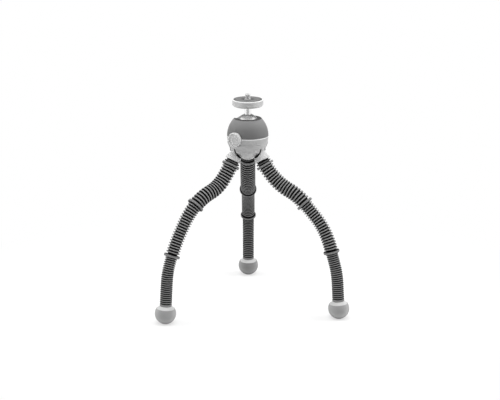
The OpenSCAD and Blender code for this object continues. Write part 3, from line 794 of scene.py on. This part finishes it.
class TRIPOD_OT_camera_plate(bpy.types.Operator):
    """Camera plate, its rubber pad and the threaded camera screw"""

    bl_idname = "tripod.camera_plate"
    bl_label = "Camera plate"

    # The pad's moulded rings and a paler band
    ring_pitch = 1.1 * MM
    band_in = (6 * MM, 9 * MM)
    band_out = (15.2 * MM, 13.4 * MM)
    plain_tone = 0.72
    band_tone = 1.5
    # The screw's flange, shoulder, thread and tip
    flange_t = 1.6 * MM
    flange_edge = 0.2 * MM
    shoulder_r = 4 * MM
    pitch = 1.27 * MM
    thread_depth = 0.55 * MM
    tip_taper = 0.9 * MM
    around = 40
    rows = 72
    sharp = 30.0

    def execute(self, context):
        colours = finishes()
        low, high = (corner[2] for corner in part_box("top_plate"))
        # A painted highlight on the upper bevel, and paler along the lower edge
        painted_light_tones = [
            (low, 1.3), (low + 0.1 * MM, 1.3), (low + 0.2 * MM, 1.0),
            (high - 1.1 * MM, 1.0), (high - 0.6 * MM, 1.5),
        ]
        dress("top_plate", bright_metal(
            "plate_metal", colours.plate, roughness=0.38, grain=0.25 * MM, metallic=0.35, painted_light_tones=painted_light_tones
        ))
        dress("plate_pad", self.ringed_rubber(colours.pad))
        self.thread(bright_metal(
            "screw_steel", colours.steel, roughness=0.5, grain=0.2 * MM, metallic=0.5
        ))
        return {"FINISHED"}

    def ringed_rubber(self, colour):
        """Rubber of the pad, with fine rings moulded in its face and a paler band."""
        finish = Finish("pad_rubber")
        place = finish.place()
        reach = finish.hypot(finish.along(place, RIGHT), finish.along(place, BACK))
        ring = finish.maths("SINE", reach * (2 * math.pi / self.ring_pitch))
        fine = finish.noise(place, grain=0.3 * MM, detail=3.0)
        band = finish.fade(reach, *self.band_in) * finish.fade(reach, *self.band_out)
        plain = darker(colour, self.plain_tone)
        pale_mark = darker(colour, self.band_tone)
        return finish.surface(
            base_color=finish.mix(band * (fine * 0.5 + 0.6), plain, pale_mark),
            roughness=finish.swung(0.625, (fine, 0.15)),
            normal=finish.bump(ring * 0.5 + fine, strength=0.5, depth=0.05 * MM),
            specular_ior_level=0.3,
        )

    def thread(self, steel):
        """The camera screw: its flange and shoulder inside the plate, and its thread above the pad."""
        low, high = (Vector(corner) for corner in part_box("camera_screw"))
        radius = MOUNTS["camera_screw"]["dims"]["r_mm"] * MM
        top = high.z
        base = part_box("plate_pad")[1][2]
        flange_r = (high.x - low.x) / 2
        flange_top = low.z + self.flange_t
        plain = (
            (low.z, flange_r - self.flange_edge), (low.z + self.flange_edge, flange_r),
            (flange_top, flange_r), (flange_top, self.shoulder_r), (base, self.shoulder_r),
        )
        rings = [(z, [r] * self.around) for z, r in plain]
        for i in range(self.rows + 1):
            z = base + (top - base) * i / self.rows
            taper = max(0.0, z - top + self.tip_taper)
            phases = [((z - base) / self.pitch - k / self.around) % 1.0 for k in range(self.around)]
            grooves = [self.thread_depth * abs(2 * phase - 1) for phase in phases]
            rings.append((z, [radius - max(taper, groove) for groove in grooves]))
        points = []
        for z, reaches in rings:
            for k, reach in enumerate(reaches):
                turn = 2 * math.pi * k / self.around
                points.append((reach * math.cos(turn), reach * math.sin(turn), z))
        faces = ring_faces([i * self.around for i in range(len(rings))], self.around)
        screw = mesh_piece("camera_screw_thread", points, faces, steel, self.sharp)
        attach(screw, "camera_head")
        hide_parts("camera_screw")


class TRIPOD_OT_ball_head(bpy.types.Operator):
    """Chromed ball and neck, with the plastic ring and seat that hold them"""

    bl_idname = "tripod.ball_head"
    bl_label = "Ball head"

    # Below this height the ball gets its painted dark reflection edge-on
    neck_base = 27.9 * MM  # above the ball's lowest point

    def execute(self, context):
        colours = finishes()
        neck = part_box("ball_stem")[0][2] + self.neck_base
        dress("ball_stem", bright_metal(
            "ball_chrome", colours.ball, roughness=0.2, grain=0.4 * MM, depth=0.004 * MM, painted_gloss_below=neck
        ))
        inner = moulded_plastic(
            "ring_plastic", colours.inner, roughness=0.4, grain=0.3 * MM, depth=0.02 * MM
        )
        dress("ball_ring", inner)
        dress("ball_seat", inner)
        return {"FINISHED"}


class TRIPOD_OT_hub(bpy.types.Operator):
    """Dome and lower shell of the hub, and what is inside them"""

    bl_idname = "tripod.hub"
    bl_label = "Hub"

    def execute(self, context):
        colours = finishes()
        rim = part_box("upper_dome")[1][2]
        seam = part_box("lower_shell")[1][2]
        # Painted shade towards the seam, a painted highlight towards the mouth and painted shade on the mouth's
        # edge
        dome_painted_light = [
            (seam, 0.8), ((seam + rim) / 2, 1.0), (rim - 2 * MM, 1.38),
            (rim - 0.5 * MM, 1.38), (rim - 0.3 * MM, 0.3),
        ]
        dress("upper_dome", moulded_plastic(
            "dome_plastic", colours.dome, roughness=0.55, depth=0.02 * MM, painted_light_tones=dome_painted_light
        ))
        # Painted shade, a little darker towards the seam, and a painted highlight on the edge along it
        shell_painted_light = [
            (seam - 7 * MM, 1.0), (seam - 5 * MM, 0.92), (seam - 1.4 * MM, 0.92), (seam - 0.6 * MM, 1.75),
        ]
        dress("lower_shell", moulded_plastic(
            "shell_plastic", colours.shell, painted_light_tones=shell_painted_light, painted_slot_shade=True
        ))
        dress("anchor_screws", bright_metal("screw_zinc", colours.steel, roughness=0.4))
        dress("leg_anchor", bright_metal(
            "anchor_metal", colours.wire, roughness=0.55, grain=0.6 * MM, depth=0.04 * MM
        ))
        dress("knob_nut", bright_metal("nut_brass", colours.brass))
        return {"FINISHED"}


class TRIPOD_OT_lock_knob(bpy.types.Operator):
    """Lock knob and its screw"""

    bl_idname = "tripod.lock_knob"
    bl_label = "Lock knob"

    # The ring of grip dimples, and the share of the painted highlight in them
    dimples = 8
    dimple_ring = 4.5 * MM
    dimple_r = 0.95 * MM
    dimple_edge = 0.2 * MM
    dimple_highlight = 0.8
    # The rim, and how far its painted highlight reaches in and out from it
    rim_r = 7.6 * MM
    rim_in = 0.5 * MM
    rim_out = 0.1 * MM
    rim_highlight = 0.3
    highlight_strength = 2.0  # strength of the colour under the painted highlights

    def execute(self, context):
        colours = finishes()
        dress("lock_knob", self.dimpled_plastic(colours.knob))
        dress("knob_screw", bright_metal("lock_steel", colours.steel, grain=0.25 * MM))
        return {"FINISHED"}

    def dimpled_plastic(self, colour):
        """Satin plastic, with painted highlights round its edge and in the ring of grip dimples."""
        joint = JOINTS["lock_turn"]
        axis = Vector(joint["axis"])
        down = -UP
        finish = Finish("knob_plastic")
        place = finish.place()
        spot = finish.node(
            "ShaderNodeVectorMath", {"operation": "SUBTRACT"}, {0: place, 1: joint["pos_m"]}
        )
        across = finish.along(spot, down)
        aside = finish.along(spot, axis.cross(down))
        reach = finish.hypot(across, aside)
        turn = finish.maths("ARCTAN2", aside, across) * (self.dimples / (2 * math.pi))
        off = (finish.maths("FRACT", turn) - 0.5) * (2 * math.pi / self.dimples)
        near = reach * finish.maths("COSINE", off) - self.dimple_ring
        beside = reach * finish.maths("SINE", off)
        gap = finish.hypot(near, beside)
        dimple = finish.fade(gap, self.dimple_r + self.dimple_edge, self.dimple_r - self.dimple_edge)
        rim = finish.fade(reach, self.rim_r - self.rim_in, self.rim_r + self.rim_out)
        # Painted highlights on the rim and in the dimples
        pale_mark = finish.maths("MAXIMUM", dimple * self.dimple_highlight, rim * self.rim_highlight)
        fine = finish.noise(place, grain=0.35 * MM, detail=3.0)
        plain = finish.varied(colour, fine, strength=0.05)
        return finish.surface(
            base_color=finish.mix(pale_mark, plain, darker(colour, self.highlight_strength)),
            roughness=finish.swung(0.38, (fine, 0.12)),
            normal=finish.bump(fine, strength=0.3, depth=0.02 * MM),
        )


class TRIPOD_OT_leg_sockets(bpy.types.Operator):
    """Flared sockets that the legs leave the hub by"""

    bl_idname = "tripod.leg_sockets"
    bl_label = "Leg sockets"

    def execute(self, context):
        # Painted shade in the slots, where the sockets show through them
        pale = moulded_plastic("socket_plastic", finishes().socket, painted_slot_shade=True)
        for side in SIDES:
            dress(f"{side}_leg_socket", pale)
        return {"FINISHED"}


class TRIPOD_OT_feet(bpy.types.Operator):
    """Round rubber feet with their pale caps"""

    bl_idname = "tripod.feet"
    bl_label = "Feet"

    # Painted contact shadow, darker towards the floor
    painted_light_tones = ((0.3 * MM, 0.3), (1.6 * MM, 0.4), (3.2 * MM, 0.85), (6 * MM, 1.0))

    def execute(self, context):
        colours = finishes()
        pale = moulded_plastic("cap_plastic", colours.cap)
        for side in SIDES:
            # Painted shade: the same foot rubber, darkened on the feet that get less light
            shade = darker(colours.foot, FOOT_PAINTED_SHADE[side])
            rubber = soft_rubber(f"{side}_foot_rubber", shade, self.painted_light_tones)
            dress(f"{side}_foot_cap", pale)
            dress(f"{side}_foot_pad", rubber)
        return {"FINISHED"}


class TRIPOD_OT_stage(bpy.types.Operator):
    """White floor, soft lamps and the camera"""

    bl_idname = "tripod.stage"
    bl_label = "Studio"

    # Rays that meet a white floor and backdrop
    white_rays = ("Is Camera Ray", "Is Glossy Ray", "Is Transmission Ray")
    # The floor, whose white is weaker near the object, where its shadow lies
    floor_half = 4.0
    floor_grey = 0.9
    shadow_reach = (0.12, 0.4)
    shadow_white = 0.6
    # The wedge of floor in front, which is darker in the metal's gloss
    front_grey = 0.5
    front_start = (-0.45, -0.6)
    front_spread = (1.05, 0.75)
    # The parts of the backdrop that are dimmer: in front, and overhead apart from the sides
    dim_level = 0.55
    dim_front = (0.35, 0.95)
    dim_over = (0.15, 0.4)
    bright_side = (0.2, 0.5)
    # Each lamp's name, place, width and the studio's property that holds its power
    lamps = (
        ("side_lamp_left", (-1.1, 0.05, 0.75), 0.9, "left_power"),
        ("side_lamp_right", (1.1, 0.05, 0.75), 0.9, "right_power"),
        ("top_lamp", (0.0, -0.1, 1.5), 1.2, "top_power"),
        ("front_lamp", (0.05, -0.9, 1.7), 0.7, "front_power"),
    )
    target = Vector((0.0, 0.0, 0.12))
    sensor = 36.0

    def execute(self, context):
        studio = context.scene.tripod_studio
        context.scene.view_settings.view_transform = "Standard"
        self.floor()
        self.world(studio.fill)
        for name, place, width, power in self.lamps:
            self.lamp(name, place, width, getattr(studio, power))
        self.camera(studio)
        return {"FINISHED"}

    def seen(self, finish):
        """One where a ray comes from the camera, or is mirrored or refracted, and nought elsewhere."""
        first, *others = (finish.node("ShaderNodeLightPath", out=ray) for ray in self.white_rays)
        seen = first
        for other in others:
            seen = finish.maths("MAXIMUM", seen, other)
        return seen

    def floor(self):
        """White floor that keeps the object's shadow."""
        half = self.floor_half
        finish = Finish("studio_floor")
        diffuse = finish.node("ShaderNodeBsdfDiffuse", inputs={"Color": (self.floor_grey,) * 3})
        glow = finish.node("ShaderNodeEmission", inputs={"Color": WHITE, "Strength": 1.0})
        place = finish.place()
        across = finish.along(place, RIGHT)
        behind = finish.along(place, BACK)
        far = finish.fade(finish.hypot(across, behind), *self.shadow_reach)
        white = self.seen(finish) * (far * (1.0 - self.shadow_white) + self.shadow_white)
        mixed = finish.node("ShaderNodeMixShader", inputs={0: white, 1: diffuse, 2: glow})
        dark = finish.node("ShaderNodeBsdfDiffuse", inputs={"Color": (self.front_grey,) * 3})
        spread = finish.maths("ABSOLUTE", across / behind)
        ahead = finish.fade(behind, *self.front_start) * finish.fade(spread, *self.front_spread)
        mirrored = finish.node("ShaderNodeLightPath", out="Is Glossy Ray")
        whole = finish.node("ShaderNodeMixShader", inputs={0: mirrored * ahead, 1: mixed, 2: dark})
        finish.node("ShaderNodeOutputMaterial", inputs={"Surface": whole})
        corners = [(-half, -half, 0), (half, -half, 0), (half, half, 0), (-half, half, 0)]
        floor = mesh_piece("studio_floor", corners, [(0, 1, 2, 3)], finish.material)

    def world(self, fill):
        """Even light all round, behind a white backdrop that is dimmer in front and overhead."""
        world = bpy.data.worlds.new("studio_light")
        world.use_nodes = True
        bpy.context.scene.world = world
        finish = Finish("studio_light", world.node_tree)
        soft, white, grey = (
            finish.node("ShaderNodeBackground", inputs={"Color": WHITE, "Strength": strength})
            for strength in (fill, 1.0, self.dim_level)
        )
        look = finish.node("ShaderNodeTexCoord", out="Generated")
        front = finish.fade(finish.along(look, -BACK), *self.dim_front)
        over = finish.fade(finish.along(look, UP), *self.dim_over)
        aside = finish.maths("ABSOLUTE", finish.along(look, RIGHT))
        beside = finish.fade(aside, *self.bright_side)
        dim = finish.maths("MAXIMUM", front, over * (1.0 - beside))
        back = finish.node("ShaderNodeMixShader", inputs={0: dim, 1: white, 2: grey})
        mixed = finish.node("ShaderNodeMixShader", inputs={0: self.seen(finish), 1: soft, 2: back})
        finish.node("ShaderNodeOutputWorld", inputs={"Surface": mixed})

    def lamp(self, name, place, width, power):
        """A square lamp that is turned to the object, and that its gloss doesn't show."""
        data = bpy.data.lights.new(name, "AREA")
        data.size = width
        data.energy = power
        lamp = bpy.data.objects.new(name, data)
        lamp.location = place
        lamp.visible_glossy = False
        lamp.rotation_euler = (self.target - Vector(place)).to_track_quat("-Z", "Y").to_euler()
        bpy.context.scene.collection.objects.link(lamp)

    def camera(self, studio):
        """A camera in front of the object that looks a little down."""
        data = bpy.data.cameras.new("photo_camera")
        data.sensor_fit = "HORIZONTAL"
        data.sensor_width = self.sensor
        data.lens = studio.camera_focal
        camera = bpy.data.objects.new("photo_camera", data)
        camera.location = studio.camera_place
        camera.rotation_euler = (math.pi / 2 - studio.camera_dip, 0.0, 0.0)
        bpy.context.scene.collection.objects.link(camera)
        bpy.context.scene.camera = camera


STEPS = (
    TRIPOD_OT_stage,
    TRIPOD_OT_camera_plate,
    TRIPOD_OT_ball_head,
    TRIPOD_OT_hub,
    TRIPOD_OT_lock_knob,
    TRIPOD_OT_leg_sockets,
    TRIPOD_OT_leg_sleeves,
    TRIPOD_OT_core_wires,
    TRIPOD_OT_feet,
)


class TRIPOD_PT_panel(bpy.types.Panel):
    """Steps that dress the tripod"""

    bl_idname = "TRIPOD_PT_panel"
    bl_label = "Tripod"
    bl_space_type = "VIEW_3D"
    bl_region_type = "UI"
    bl_category = "Tripod"

    def draw(self, context):
        for step in STEPS:
            self.layout.operator(step.bl_idname)


GROUPS = (SleeveSizes, Finishes, Studio)


def register():
    for cls in (*GROUPS, *STEPS, TRIPOD_PT_panel):
        bpy.utils.register_class(cls)
    bpy.types.Scene.tripod_sleeves = PointerProperty(type=SleeveSizes)
    bpy.types.Scene.tripod_finishes = PointerProperty(type=Finishes)
    bpy.types.Scene.tripod_studio = PointerProperty(type=Studio)


def unregister():
    del bpy.types.Scene.tripod_sleeves
    del bpy.types.Scene.tripod_finishes
    del bpy.types.Scene.tripod_studio
    for cls in reversed((*GROUPS, *STEPS, TRIPOD_PT_panel)):
        bpy.utils.unregister_class(cls)


def main():
    """Runs every step in order."""
    register()
    for step in STEPS:
        group, name = step.bl_idname.split(".")
        getattr(getattr(bpy.ops, group), name)()


if __name__ == "__main__":
    main()
